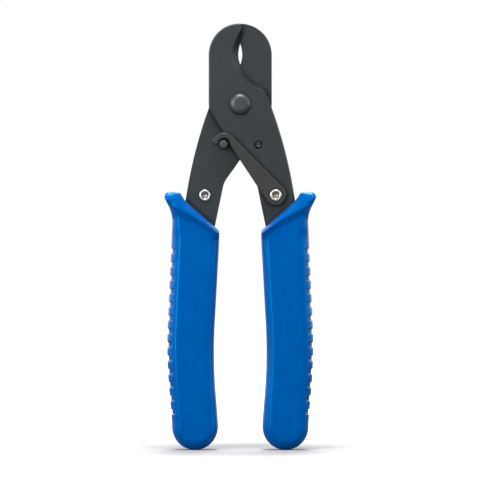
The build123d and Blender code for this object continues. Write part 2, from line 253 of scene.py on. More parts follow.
def make_object(
    name: str, points: list[Place], faces: list[Face], finish: bpy.types.Material
) -> bpy.types.Object:
    """Makes a smooth mesh object.

    Args:
        name: Name of the piece.
        points: Vertex places in millimetres.
        faces: Vertex numbers of each face, counted anticlockwise from outside.
        finish: Material of the whole piece.

    Returns:
        The linked object.
    """
    mesh = bpy.data.meshes.new(name)
    mesh.from_pydata([Vector(p) * MM for p in points], [], faces)
    mesh.validate()
    mesh.shade_smooth()
    mesh.materials.append(finish)
    piece = bpy.data.objects.new(name, mesh)
    bpy.context.scene.collection.objects.link(piece)
    return piece


# Node trees

NOISE_ROUGHNESS = 0.55
# Nearly all values of a noise lie in this span
NOISE_SPAN = (0.3, 0.7)


def linear(code: str) -> tuple[float, float, float, float]:
    """Turns an sRGB colour into linear RGBA.

    Args:
        code: The colour as # and six hex digits.

    Returns:
        Red, green, blue and an alpha of 1.
    """
    values = []
    # The curve of the sRGB standard: a straight foot with a power above it
    for start in (1, 3, 5):
        level = int(code[start : start + 2], 16) / 255
        values.append(level / 12.92 if level <= 0.04045 else ((level + 0.055) / 1.055) ** 2.4)
    return (values[0], values[1], values[2], 1.0)


def per_mm(size: float) -> float:
    """Turns the size of a pattern's features in millimetres into a texture scale per metre."""
    return 1 / (size * MM)


def add_node(
    tree: Tree,
    kind: str,
    settings: dict[str | int, object] | None = None,
    links: dict[str | int, Socket] | None = None,
) -> bpy.types.Node:
    """Adds a node.

    Args:
        tree: Node tree that gets it.
        kind: Blender's name of the node type.
        settings: Values by socket name or number, or by the node's own setting.
        links: Output sockets by the name or number of the input that they feed.

    Returns:
        The node.
    """
    node = tree.nodes.new(kind)
    for key, value in (settings or {}).items():
        if isinstance(key, str) and key not in node.inputs:
            setattr(node, key, value)
    for key, value in (settings or {}).items():
        if not isinstance(key, str) or key in node.inputs:
            node.inputs[key].default_value = value
    for key, socket in (links or {}).items():
        tree.links.new(socket, node.inputs[key])
    return node


def new_tree(name: str) -> tuple[bpy.types.Material, Tree, Socket]:
    """Makes an empty material.

    Args:
        name: Name of the material.

    Returns:
        The material, its node tree, and the place on the object as texture coordinates.
    """
    material = bpy.data.materials.new(name)
    material.use_nodes = True
    tree = material.node_tree
    tree.nodes.clear()
    place = add_node(tree, "ShaderNodeTexCoord").outputs["Object"]
    return material, tree, place


def noise(tree: Tree, place: Socket, size: float, detail: float) -> Socket:
    """Adds a noise whose features are about size millimetres and returns its value."""
    settings = {"Scale": per_mm(size), "Detail": detail, "Roughness": NOISE_ROUGHNESS}
    return add_node(tree, "ShaderNodeTexNoise", settings, {"Vector": place}).outputs[0]


def ranged(
    tree: Tree, value: Socket, low: float, high: float, span: tuple[float, float] = NOISE_SPAN
) -> Socket:
    """Maps a value from a span onto low to high."""
    settings = {1: span[0], 2: span[1], 3: low, 4: high}
    return add_node(tree, "ShaderNodeMapRange", settings, {0: value}).outputs[0]


def blended(tree: Tree, factor: Socket, first: str, second: str) -> Socket:
    """Mixes two sRGB hex colours by a factor."""
    settings = {"data_type": "RGBA", 6: linear(first), 7: linear(second)}
    return add_node(tree, "ShaderNodeMix", settings, {0: factor}).outputs[2]


def bumped(tree: Tree, height: Socket, depth: float, normal: Socket | None = None) -> Socket:
    """Turns a height into a normal.

    Args:
        tree: Node tree that gets the node.
        height: Height from 0 to 1.
        depth: What a height of 1 stands for, in millimetres.
        normal: Normal that the relief is laid on, where it isn't the surface's own.

    Returns:
        The new normal.
    """
    links = {"Height": height}
    if normal is not None:
        links["Normal"] = normal
    return add_node(tree, "ShaderNodeBump", {"Distance": depth * MM}, links).outputs[0]


def finished(tree: Tree, shader: bpy.types.Node) -> None:
    """Joins a shader to the material's output."""
    add_node(tree, "ShaderNodeOutputMaterial", links={"Surface": shader.outputs[0]})


# Finishes


@dataclass(frozen=True)
class MouldedVinyl:
    """Blue vinyl, injection moulded over the tangs in a mould with a satin skin.

    The eye sees a deep, even blue with hardly any gloss on its flat front, a soft bright line
    where the long edges roll over, and a very fine grain with faint cloudy patches.

    Attributes:
        name: Name of the material.
        body: Main colour.
        cloud: Colour of the cloudy patches.
        patch_size: Size of the patches in millimetres.
        patch_detail: Octaves of the patches.
        grain_size: Size of the grain in millimetres. The mould's own grain is finer, about
            0.1 mm, and is drawn this coarse so that it shows.
        grain_detail: Octaves of the grain.
        grain_depth: Depth of the grain in millimetres.
        roughness: Least and greatest roughness.
        specular: Strength of the reflection, where 0.5 is an IOR of 1.5.
        gleam: Tint of the reflection, since the clear skin over the dye colours it.
        bloom: Weight of the soft sheen on the rolled edges.
        bloom_roughness: Roughness of that sheen.
        bloom_tint: Tint of that sheen.
    """

    name: str
    body: str = "#0053A1"
    cloud: str = "#004E98"
    patch_size: float = 7.0
    patch_detail: float = 3.0
    grain_size: float = 0.35
    grain_detail: float = 2.0
    grain_depth: float = 0.005
    roughness: tuple[float, float] = (0.18, 0.24)
    specular: float = 0.46
    gleam: str = "#0ABAFF"
    bloom: float = 0.3
    bloom_roughness: float = 0.45
    bloom_tint: str = "#0A78FF"

    def material(self) -> bpy.types.Material:
        """Builds the node tree and returns the material."""
        material, tree, place = new_tree(self.name)
        patches = noise(tree, place, self.patch_size, self.patch_detail)
        grain = noise(tree, place, self.grain_size, self.grain_detail)
        colour = blended(tree, ranged(tree, patches, 0.0, 1.0), self.body, self.cloud)
        rough = ranged(tree, grain, self.roughness[0], self.roughness[1])
        shader = add_node(
            tree,
            "ShaderNodeBsdfPrincipled",
            {
                "Specular IOR Level": self.specular,
                "Specular Tint": linear(self.gleam),
                "Sheen Weight": self.bloom,
                "Sheen Roughness": self.bloom_roughness,
                "Sheen Tint": linear(self.bloom_tint),
            },
            {
                "Base Color": colour,
                "Roughness": rough,
                "Normal": bumped(tree, grain, self.grain_depth),
            },
        )
        finished(tree, shader)
        return material


@dataclass(frozen=True)
class BlackOxideSteel:
    """Hardened steel with a black oxide skin, its colour darkened with painted shade where two
    pieces meet.

    The eye sees a nearly neutral charcoal that is satin and slightly mottled, with a fine
    tumbled grain, a little lighter where softened edges catch the light.

    Attributes:
        name: Name of the material.
        body: Main colour.
        cloud: Colour of the mottles.
        patch_size: Size of the mottles in millimetres.
        patch_detail: Octaves of the mottles.
        grain_size: Size of the tumbled grain in millimetres. The real grain is finer, about
            0.05 mm, and is drawn this coarse so that it shows.
        grain_detail: Octaves of the grain.
        grain_depth: Depth of the grain in millimetres.
        metallic: Below 1, because the oxide skin hides part of the metal.
        roughness: Least and greatest roughness.
        edge_radius: Radius to which tumbling has softened the edges, in millimetres.
        shade_reach: How far the painted shade reaches from where two pieces meet, in millimetres.
        shade_samples: Samples of the node that finds those places.
    """

    name: str
    body: str = "#373D40"
    cloud: str = "#33383B"
    patch_size: float = 5.0
    patch_detail: float = 4.0
    grain_size: float = 0.22
    grain_detail: float = 2.0
    grain_depth: float = 0.006
    metallic: float = 0.75
    roughness: tuple[float, float] = (0.34, 0.46)
    edge_radius: float = 0.25
    shade_reach: float = 2.0
    shade_samples: int = 8

    def material(self) -> bpy.types.Material:
        """Builds the node tree and returns the material."""
        material, tree, place = new_tree(self.name)
        patches = noise(tree, place, self.patch_size, self.patch_detail)
        grain = noise(tree, place, self.grain_size, self.grain_detail)
        skin = blended(tree, ranged(tree, patches, 0.0, 1.0), self.body, self.cloud)
        # Painted shade: an ambient occlusion node darkens the steel's colour where two pieces meet
        painted_shade_settings = {"samples": self.shade_samples, "Distance": self.shade_reach * MM}
        painted_shade = add_node(tree, "ShaderNodeAmbientOcclusion", painted_shade_settings, {"Color": skin})
        rough = ranged(tree, grain, self.roughness[0], self.roughness[1])
        rounded = add_node(tree, "ShaderNodeBevel", {"Radius": self.edge_radius * MM}).outputs[0]
        normal = bumped(tree, grain, self.grain_depth, rounded)
        shader = add_node(
            tree,
            "ShaderNodeBsdfPrincipled",
            {"Metallic": self.metallic},
            {"Base Color": painted_shade.outputs["Color"], "Roughness": rough, "Normal": normal},
        )
        finished(tree, shader)
        return material


@dataclass(frozen=True)
class NickelPlate:
    """Bright nickel plating on a rolled hollow rivet.

    The eye sees a slightly warm white metal with soft reflections and fine mottled marks
    of the rolling tool, duller down in the hole, where a darker colour is painted shade.

    Attributes:
        name: Name of the material.
        body: Main colour.
        cloud: Colour of the marks.
        mark_size: Size of the marks in millimetres.
        mark_detail: Octaves of the marks.
        mark_depth: Depth of the marks in millimetres.
        roughness: Least and greatest roughness.
    """

    name: str
    body: str = "#E4DFD8"
    cloud: str = "#C9C3BB"
    mark_size: float = 0.12
    mark_detail: float = 3.0
    mark_depth: float = 0.0003
    roughness: tuple[float, float] = (0.24, 0.3)

    def material(self) -> bpy.types.Material:
        """Builds the node tree and returns the material."""
        material, tree, place = new_tree(self.name)
        marks = noise(tree, place, self.mark_size, self.mark_detail)
        colour = blended(tree, ranged(tree, marks, 0.0, 1.0), self.body, self.cloud)
        rough = ranged(tree, marks, self.roughness[0], self.roughness[1])
        shader = add_node(
            tree,
            "ShaderNodeBsdfPrincipled",
            {"Metallic": 1.0},
            {
                "Base Color": colour,
                "Roughness": rough,
                "Normal": bumped(tree, marks, self.mark_depth),
            },
        )
        finished(tree, shader)
        return material


# Grips


class Side(Enum):
    """The side of the tool that a grip is on, as the sign of its X."""

    LEFT = -1
    RIGHT = 1


@dataclass(frozen=True)
class GripSizes:
    """Sizes of the right grip in millimetres; the left one is the same piece turned round.

    X counts from the middle of the tool and Z from the floor. In the guard, which is the
    flared top of the grip, z counts down from the grip's top.

    Attributes:
        length: Height of the grip's top.
        half_thickness: Half of the sleeve's thickness.
        fine_step: Spacing of samples along the grooved side.
        coarse_step: Spacing of samples along the plain side.
        inner_roll: Roll radius of the long edges on the plain side.
        outer_roll: Roll radius of the long edges on the grooved side.
        end_roll: Roll radius of the edges round the foot.
        end_x: Middle of the round end.
        end_radius: Radius of the round end.
        foot_height: Height at which the sleeve starts to widen.
        foot_radius: Radius of the outline there.
        inner_bulge: Corner of the outline where the plain side turns back.
        outer_bulge: Corner of the outline where the grooved side turns back.
        collar: Corner of the guard beside the blade.
        neck: Corner below the collar.
        shoulder: Corner below the guard on the grooved side.
        hollow: Corner under the ear, where the thumb rests.
        ear: Outermost corner of the guard.
        step: Inner corner of the ear's top.
        seat: Foot of the step, on the blade.
        crest: Line of the collar's crest over the face.
        scoop_foot: Line at which the face starts to rise to the crest.
        crown: Line at which the fall behind the crest ends.
        collar_rise: How far the crest stands proud of the sleeve.
        crown_fall: How far the face falls from the crest to the crown line.
        least_crown: Least distance that the fall takes.
        scoop_power: How hollow the rise and the fall are, where 1 is straight.
        groove_count: Number of finger grooves.
        groove_pitch: Distance from groove to groove.
        groove_first_drop: Middle of the topmost groove below the grip's top.
        groove_width: Width of a groove.
        groove_depth: Depth of a groove.
        groove_corner: Radius of a groove's corners, seen from the side.
        groove_wall: Width of a groove's sloped wall.
        groove_reach: How far a groove runs on over the rolled edge.
    """

    length: float
    half_thickness: float = 5.7
    fine_step: float = 0.16
    coarse_step: float = 1.2
    inner_roll: float = 3.5
    outer_roll: float = 4.4
    end_roll: float = 4.0
    end_x: float = 17.5
    end_radius: float = 8.9
    foot_height: float = 10.5
    foot_radius: float = 35.0
    inner_bulge: Corner = Corner(10.65, 36.0, 200.0, inner_roll, coarse_step)
    outer_bulge: Corner = Corner(28.6, 36.0, 200.0, outer_roll, fine_step)
    collar: Corner = Corner(8.07, 14.9, 1.7, 1.3, 0.5)
    neck: Corner = Corner(8.15, 19.7, 60.0, inner_roll, coarse_step)
    shoulder: Corner = Corner(26.6, 18.8, 40.0, outer_roll, 0.5)
    hollow: Corner = Corner(26.15, 8.55, 13.0, 3.4, 0.5)
    ear: Corner = Corner(30.4, 0.0, 1.8, 1.3, 0.3)
    step: Corner = Corner(23.5, 0.0, 1.1, 0.7, 0.5)
    seat: Corner = Corner(21.1, 3.6, 2.5, 0.7, 0.5)
    crest: tuple[tuple[float, float], ...] = (
        (6.0, 18.1),
        (9.5, 15.3),
        (15.0, 11.2),
        (19.8, 8.4),
        (25.45, 5.8),
        (31.0, 4.0),
    )
    scoop_foot: tuple[tuple[float, float], ...] = (
        (6.0, 18.4),
        (9.55, 16.5),
        (24.2, 8.8),
        (31.0, 5.9),
    )
    crown: tuple[tuple[float, float], ...] = (
        (6.0, 16.7),
        (8.07, 14.9),
        (21.1, 3.6),
        (23.5, 0.0),
        (32.0, 0.0),
    )
    collar_rise: float = 1.1
    crown_fall: float = 2.1
    least_crown: float = 0.5
    scoop_power: float = 1.3
    groove_count: int = 13
    groove_pitch: float = 5.18
    groove_first_drop: float = 22.8
    groove_width: float = 2.1
    groove_depth: float = 0.5
    groove_corner: float = 0.4
    groove_wall: float = 0.32
    groove_reach: float = 4.0


class Grip:
    """One moulded grip: a rolled outline, finger grooves on the outside and a raised collar."""

    # Degrees over the rolled edge, from the side wall to the flat face, closest together
    # where the grooves end
    RING_ANGLES = (0, 12, 24, 34, 40, 44, 47, 49.5, 52, 54.5, 57, 62, 69, 76, 83, 90)
    # One more ring lies this far in over the face, in millimetres
    FLAT_MARGIN = 0.12
    # The face is filled over a fine grid in the guard and a coarse one in the sleeve
    GUARD_DROP = 19.0
    GUARD_GRID = 0.42
    SLEEVE_GRID = 3.2
    # Share of the grid that its places keep from the rim, and the most that they keep
    RIM_SHARE = 0.6
    RIM_MOST = 0.6
    # The triangulation's own number for keeping only what lies inside the edges
    INSIDE_EDGES = 1
    # Places nearer than this, in millimetres, are one to the triangulation
    MERGE_DISTANCE = 1e-6
    # Stands for the rise of a level edge, by which nothing could be divided
    LEAST_RISE = 1e-12

    def __init__(self, side: Side, sizes: GripSizes) -> None:
        """Keeps the side and the sizes."""
        self.side = side
        self.sizes = sizes
        lines = (sizes.scoop_foot, sizes.crest, sizes.crown)
        self.lines = [
            ([x for x, _ in line], [sizes.length - drop for _, drop in line]) for line in lines
        ]

    def outline(self) -> list[Sample]:
        """Walks the grip's outline anticlockwise, from the collar down its inner side.

        Returns:
            Samples along the outline, closed.
        """
        s = self.sizes
        inner_x = s.end_x - s.end_radius
        outer_x = s.end_x + s.end_radius
        corners = [
            self._below_top(s.collar),
            self._below_top(s.neck),
            s.inner_bulge,
            Corner(inner_x, s.foot_height, s.foot_radius, s.end_roll, s.coarse_step),
            Corner(inner_x, 0.0, s.end_radius, s.end_roll, s.coarse_step),
            Corner(outer_x, 0.0, s.end_radius, s.end_roll, s.fine_step),
            Corner(outer_x, s.foot_height, s.foot_radius, s.end_roll, s.fine_step),
            s.outer_bulge,
            self._below_top(s.shoulder),
            self._below_top(s.hollow),
            self._below_top(s.ear),
            self._below_top(s.step),
            self._below_top(s.seat),
        ]
        return RoundedPath(corners, closed=True, arc_step=s.fine_step * 2).samples()

    def _below_top(self, corner: Corner) -> Corner:
        """Returns a corner of the guard with its height above the floor as z."""
        return replace(corner, z=self.sizes.length - corner.z)

    def thickness(self, x: float, z: float) -> float:
        """Half thickness of the grip: the crest stands proud above a scooped band.

        Args:
            x: Place across the grip.
            z: Height of the place.

        Returns:
            Half of the thickness there, without the grooves.
        """
        s = self.sizes
        foot, crest, crown = (float(np.interp(x, xs, zs)) for xs, zs in self.lines)
        if z <= foot:
            return s.half_thickness
        if z < crest:
            share = (z - foot) / (crest - foot)
            return s.half_thickness + s.collar_rise * share**s.scoop_power
        share = min(1.0, (z - crest) / max(crown - crest, s.least_crown))
        return s.half_thickness + s.collar_rise - s.crown_fall * share**s.scoop_power

    def groove(self, x: float, z: float, along: float) -> float:
        """Depth of the finger grooves.

        Args:
            x: Place across the grip.
            z: Height of the place.
            along: Distance from the middle of the side wall, round the rolled edge.

        Returns:
            How far the surface is sunk there.
        """
        s = self.sizes
        if x < s.end_x:
            return 0.0
        number = round((s.length - s.groove_first_drop - z) / s.groove_pitch)
        number = min(max(number, 0), s.groove_count - 1)
        middle = s.length - s.groove_first_drop - number * s.groove_pitch
        reach = s.half_thickness - s.outer_roll + s.groove_reach
        off_z = abs(z - middle) - s.groove_width / 2 + s.groove_corner
        off_along = along - reach + s.groove_corner
        outside = math.hypot(max(off_z, 0.0), max(off_along, 0.0))
        outside += min(max(off_z, off_along), 0.0)
        share = min(max((s.groove_corner - outside) / s.groove_wall + 0.5, 0.0), 1.0)
        return s.groove_depth * eased(share)

    def ring(self, outline: list[Sample], angle: float, extra: float = 0.0) -> list[Place]:
        """Places one ring of the rolled edge.

        Args:
            outline: The grip's outline.
            angle: Angle over the edge in degrees: 0 on the side wall, 90 on the flat face.
            extra: Further distance in over the face.

        Returns:
            Places as x, half depth and z.
        """
        lean = math.radians(angle)
        found = []
        for p in outline:
            inset = p.roll * (1 - math.cos(lean)) + extra
            half_wall = self.thickness(p.x, p.z) - p.roll
            depth = self.groove(p.x, p.z, half_wall + p.roll * lean)
            normal_x, normal_z = -p.heading_z, p.heading_x
            x = p.x + normal_x * (inset + depth * math.cos(lean))
            z = p.z + normal_z * (inset + depth * math.cos(lean))
            edge = self.thickness(x, z) - p.roll
            found.append((x, edge + p.roll * math.sin(lean) - depth * math.sin(lean), z))
        return found

    def face(self, rim: list[Place]) -> tuple[list[Vector], list[Face], list[list[int]]]:
        """Fills the face inside a rim with triangles.

        Args:
            rim: Places of the rim as x, half depth and z.

        Returns:
            Places as x and z, triangles over them, and for each place the numbers of the
            places that it came from, which are below the rim's count where it is on the rim.
        """
        s = self.sizes
        guard = s.length - self.GUARD_DROP
        flat = [Vector((x, z)) for x, _, z in rim]
        xs = [p.x for p in flat]
        inner = []
        for low, high, step in (
            (0.0, guard, self.SLEEVE_GRID),
            (guard, s.length, self.GUARD_GRID),
        ):
            margin = min(self.RIM_SHARE * step, self.RIM_MOST)
            for z in np.arange(low + step / 2, high, step):
                for x in np.arange(min(xs), max(xs), step):
                    if self._inside(flat, x, z, margin):
                        inner.append(Vector((x, z)))
        edges = [(n, (n + 1) % len(flat)) for n in range(len(flat))]
        points, _, faces, origins, _, _ = geometry.delaunay_2d_cdt(
            flat + inner, edges, [], self.INSIDE_EDGES, self.MERGE_DISTANCE
        )
        return points, faces, origins

    def _inside(self, rim: list[Vector], x: float, z: float, margin: float) -> bool:
        """Tests whether a place is inside a rim.

        Args:
            rim: Places of the rim.
            x: Place across the grip.
            z: Height of the place.
            margin: Least distance to the rim's places.

        Returns:
            Whether it is inside by at least the margin.
        """
        places = np.array([(p.x, p.y) for p in rim])
        after = np.roll(places, -1, axis=0)
        if np.min(np.hypot(places[:, 0] - x, places[:, 1] - z)) < margin:
            return False
        crosses = (places[:, 1] > z) != (after[:, 1] > z)
        rise = after[:, 1] - places[:, 1]
        rise[rise == 0] = self.LEAST_RISE
        at_x = places[:, 0] + (z - places[:, 1]) * (after[:, 0] - places[:, 0]) / rise
        return bool(np.count_nonzero(crosses & (x < at_x)) % 2)

    def build(self, node: str, body: str, finish: bpy.types.Material) -> bpy.types.Object:
        """Makes the grip, which stands for its CAD node.

        Args:
            node: Name of the CAD node.
            body: Body that the grip rides on.
            finish: Material of the grip.

        Returns:
            The grip.
        """
        outline = self.outline()
        rings = [self.ring(outline, angle) for angle in self.RING_ANGLES]
        rings.append(self.ring(outline, self.RING_ANGLES[-1], self.FLAT_MARGIN))
        across = len(outline)
        points: list[Place] = []
        faces: list[Face] = []
        starts = []
        for y_sign in (-1, 1):
            start = len(points)
            starts.append(start)
            for ring in rings:
                points.extend((x, y_sign * depth, z) for x, depth, z in ring)
            for row in range(len(rings) - 1):
                for column in range(across):
                    following = (column + 1) % across
                    low, high = start + row * across, start + (row + 1) * across
                    quad = (low + column, low + following, high + following, high + column)
                    faces.append(quad if y_sign < 0 else quad[::-1])
            self._cap(points, faces, rings[-1], start + (len(rings) - 1) * across, y_sign)
        front, back = starts
        for column in range(across):
            following = (column + 1) % across
            faces.append((back + column, back + following, front + following, front + column))
        turned = [(self.side.value * x, self.side.value * y, z) for x, y, z in points]
        grip = make_object(f"{node}_moulding", turned, faces, finish)
        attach(grip, body)
        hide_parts(node)
        return grip

    def _cap(
        self, points: list[Place], faces: list[Face], rim: list[Place], start: int, y_sign: int
    ) -> None:
        """Closes the front or the back with the filled face.

        Args:
            points: Places of the grip so far, to which the inner ones are added.
            faces: Faces of the grip so far, to which the triangles are added.
            rim: The innermost ring.
            start: Number of the ring's first point.
            y_sign: -1 for the front, 1 for the back.
        """
        flat, triangles, origins = self.face(rim)
        numbers = {}
        for index, place in enumerate(flat):
            sources = [source for source in origins[index] if source < len(rim)]
            if sources:
                numbers[index] = start + sources[0]
            else:
                numbers[index] = len(points)
                points.append((place.x, y_sign * self.thickness(place.x, place.y), place.y))
        for triangle in triangles:
            named = tuple(numbers[index] for index in triangle)
            faces.append(named if y_sign < 0 else named[::-1])


# Turned pieces


class Lathe:
    """Turns a profile about the axis of a CAD node that lies from front to back."""

    SEGMENTS = 72
    ARC_STEP = 0.12
    # A row nearer to the axis than this is a single point on it
    AXIS_REACH = 0.01
    # A hollow is only looked for further in front of the back than this
    BACK_DEPTH = 1.0

    def __init__(self, node: str) -> None:
        """Takes the axis and the levels of a CAD node.

        Args:
            node: Name of the node.
        """
        low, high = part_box(node)
        self.node = node
        self.x = (low.x + high.x) / 2 / MM
        self.z = (low.z + high.z) / 2 / MM
        self.front = low.y / MM
        self.back = high.y / MM
        self.radius = (high.x - low.x) / 2 / MM

    def build(
        self,
        profile: list[Corner],
        body: str,
        slot: str,
        finish: bpy.types.Material,
        hollow: tuple[float, bpy.types.Material] | None = None,
    ) -> bpy.types.Object:
        """Turns a profile about the axis.

        Args:
            profile: Corners with the radius as x and the depth from the front to the back as z.
            body: Body that the piece rides on.
            slot: Material slot of the record; not used.
            finish: Material of the piece.
            hollow: Radius of the hollow in the front and the material down in it, if it has one.

        Returns:
            The piece, which stands for its CAD node.
        """
        rows = RoundedPath(profile, closed=False, arc_step=self.ARC_STEP).samples()
        points: list[Place] = []
        faces: list[Face] = []
        rings, inner = [], []
        for row in rows:
            count = self.SEGMENTS if row.x > self.AXIS_REACH else 1
            rings.append([len(points) + number % count for number in range(self.SEGMENTS)])
            in_front = row.z < self.back - self.BACK_DEPTH
            for number in range(count):
                angle = 2 * math.pi * number / self.SEGMENTS
                x = self.x + row.x * math.cos(angle)
                points.append((x, row.z, self.z + row.x * math.sin(angle)))
                inner.append(bool(hollow) and row.x <= hollow[0] and in_front)
        for low, high in zip(rings, rings[1:]):
            for number in range(self.SEGMENTS):
                following = (number + 1) % self.SEGMENTS
                face = (low[number], high[number], high[following], low[following])
                # Beside a point on the axis two corners are one, which leaves a triangle
                faces.append(tuple(dict.fromkeys(face)))
        piece = make_object(f"{self.node}_turned", points, faces, finish)
        if hollow:
            piece.data.materials.append(hollow[1])
            for face in piece.data.polygons:
                face.material_index = int(all(inner[number] for number in face.vertices))
        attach(piece, body)
        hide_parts(self.node)
        return piece


@dataclass(frozen=True)
class PivotRivet:
    """The rivet that the blades turn on, with a rolled head in front and a peened end behind.

    All sizes are in millimetres.

    Attributes:
        width: Greatest width, at the foot of the peened end.
        head_inset: How much less far than that the head reaches at the blade.
        head_height: Height of the head over the blade.
        rim_inset: How much less far the corner of the head's top and side reaches.
        rim_drop: How far the head's top falls to that corner.
        rim_roll: Radius that rounds it.
        shank_width: Width of the shank.
        peen_height: Height of the peened end over its washer.
        peen_edge: Radius of the peened end's outermost edge.
        peen_inset: How far its side leans in.
        peen_roll: Radius between its side and its end.
        body: Main colour of the oxide.
        cloud: Colour of its mottles.
    """

    width: float = 8.6
    head_inset: float = 0.09
    head_height: float = 1.4
    rim_inset: float = 0.73
    rim_drop: float = 0.08
    rim_roll: float = 2.38
    shank_width: float = 6.0
    peen_height: float = 1.1
    peen_edge: float = 0.1
    peen_inset: float = 1.2
    peen_roll: float = 1.2
    body: str = "#45494B"
    cloud: str = "#3E4244"

    def build(self) -> bpy.types.Object:
        """Makes the rivet.

        Returns:
            The rivet, which stands for its CAD node.
        """
        lathe = Lathe("pivot_rivet")
        rim, shank = self.width / 2, self.shank_width / 2
        head, peen = lathe.front + self.head_height, lathe.back - self.peen_height
        profile = [
            Corner(0.0, lathe.front),
            Corner(rim - self.rim_inset, lathe.front + self.rim_drop, self.rim_roll),
            Corner(rim - self.head_inset, head),
            Corner(shank, head),
            Corner(shank, peen),
            Corner(rim, peen, self.peen_edge),
            Corner(rim - self.peen_inset, lathe.back, self.peen_roll),
            Corner(0.0, lathe.back),
        ]
        finish = BlackOxideSteel("turned_oxide", body=self.body, cloud=self.cloud)
        return lathe.build(profile, "right_handle", "pivot_rivet_steel", finish.material())


@dataclass(frozen=True)
class HollowRivet:
    """A rivet with a rolled hollow end in front and a low head behind.

    All sizes are in millimetres.

    Attributes:
        ring_width: Width of the rolled ring.
        ring_height: Height of the ring.
        ring_inset: How much less far the ring reaches at the blade.
        ring_roll: Radius that rounds the ring.
        bore_width: Width of the hole at the ring.
        bore_depth: Depth of the hole in its middle.
        dimple: Corner of the dimple in the hole's floor: radius, height over the floor and
            rounding.
        dish: Corner of the dished floor, in the same way.
        dull_and_shaded_reach: How far the hole's rougher material, darkened as painted shade, goes
            out over the ring.
        shank_width: Width of the shank.
        head_width: Width of the head behind.
        head_height: Height of that head.
        head_edge: Radius of that head's inner edge.
        head_roll: Radius of that head's outer edge.
        shaded_hole_body: Main colour of the plating down in the hole, darker than the ring as
            painted shade.
        shaded_hole_cloud: Colour of its marks, darkened the same way.
        hole_roughness: Its least and greatest roughness.
    """

    ring_width: float = 4.7
    ring_height: float = 0.6
    ring_inset: float = 0.1
    ring_roll: float = 0.5
    bore_width: float = 2.9
    bore_depth: float = 1.3
    dimple: Corner = Corner(0.3, 0.3, 0.2)
    dish: Corner = Corner(0.75, 0.4, 0.4)
    dull_and_shaded_reach: float = 0.08
    shank_width: float = 3.2
    head_width: float = 5.4
    head_height: float = 0.8
    head_edge: float = 0.1
    head_roll: float = 0.35
    shaded_hole_body: str = "#A19C95"
    shaded_hole_cloud: str = "#7E7A75"
    hole_roughness: tuple[float, float] = (0.34, 0.45)

    def build(self, node: str, body: str) -> bpy.types.Object:
        """Makes the rivet.

        Args:
            node: Name of the CAD node.
            body: Body that the rivet rides on.

        Returns:
            The rivet, which stands for its CAD node.
        """
        lathe = Lathe(node)
        plating = NickelPlate(f"{node}_plating")
        # The hole's plating is rougher, and its darker colour is painted shade in the recess
        hole = NickelPlate(
            f"{node}_hole", self.shaded_hole_body, self.shaded_hole_cloud, roughness=self.hole_roughness
        )
        shiny, dull_and_shaded = plating.material(), hole.material()
        reach = self.bore_width / 2 + self.dull_and_shaded_reach
        return lathe.build(self._profile(lathe), body, f"{node}_nickel", shiny, (reach, dull_and_shaded))

    def _profile(self, lathe: Lathe) -> list[Corner]:
        """Draws the profile between the node's front and back.

        Args:
            lathe: The lathe that has the node's levels.

        Returns:
            Corners from the middle of the hole to the middle of the head behind.
        """
        bore, ring, shank = self.bore_width / 2, self.ring_width / 2, self.shank_width / 2
        floor, seat = lathe.front + self.bore_depth, lathe.front + self.ring_height
        head, neck = self.head_width / 2, lathe.back - self.head_height
        return [
            Corner(0.0, floor),
            replace(self.dimple, z=floor - self.dimple.z),
            replace(self.dish, z=floor - self.dish.z),
            Corner(bore, lathe.front, self.ring_roll),
            Corner(ring, lathe.front, self.ring_roll),
            Corner(ring - self.ring_inset, seat),
            Corner(shank, seat),
            Corner(shank, neck),
            Corner(head, neck, self.head_edge),
            Corner(head, lathe.back, self.head_roll),
            Corner(0.0, lathe.back),
        ]


@dataclass(frozen=True)
class LatchPin:
    """The post that the latch's hook holds.

    Attributes:
        front_roll: Radius of its front edge in millimetres.
        back_roll: Radius of its back edge.
        body: Main colour of the oxide.
        cloud: Colour of its mottles.
    """

    front_roll: float = 0.35
    back_roll: float = 0.1
    body: str = "#484B4C"
    cloud: str = "#404344"

    def build(self) -> bpy.types.Object:
        """Makes the post.

        Returns:
            The post, which stands for its CAD node.
        """
        lathe = Lathe("latch_pin")
        profile = [
            Corner(0.0, lathe.front),
            Corner(lathe.radius, lathe.front, self.front_roll),
            Corner(lathe.radius, lathe.back, self.back_roll),
            Corner(0.0, lathe.back),
        ]
        finish = BlackOxideSteel("latch_pin_skin", body=self.body, cloud=self.cloud)
        return lathe.build(profile, "left_handle", "latch_pin_steel", finish.material())


# Spring and plain steel


@dataclass(frozen=True)
class ReturnSpring:
    """The ring of wire between the blades, whose ends are bent into holes of the two blades.

    Attributes:
        mean_radius: Radius of the ring's middle line in millimetres.
        front_angle: Degrees from +X to the end that the front blade holds.
        rear_angle: Degrees from +X to the end that the rear blade holds.
        stiff_share: Share of the way from one end to the other that doesn't bend, at each end.
    """

    mean_radius: float = 4.4
    front_angle: float = 215.0
    rear_angle: float = -75.0
    stiff_share: float = 0.12

    def build(self, frame: dict, finish: bpy.types.Material) -> bpy.types.Object:
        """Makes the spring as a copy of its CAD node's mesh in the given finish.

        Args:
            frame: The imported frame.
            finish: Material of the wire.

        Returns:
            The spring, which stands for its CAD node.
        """
        mesh = frame["nodes"]["return_spring"].data.copy()
        mesh.materials.clear()
        mesh.materials.append(finish)
        wire = bpy.data.objects.new("return_spring_wire", mesh)
        bpy.context.scene.collection.objects.link(wire)
        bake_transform(wire)
        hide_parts("return_spring")
        return wire


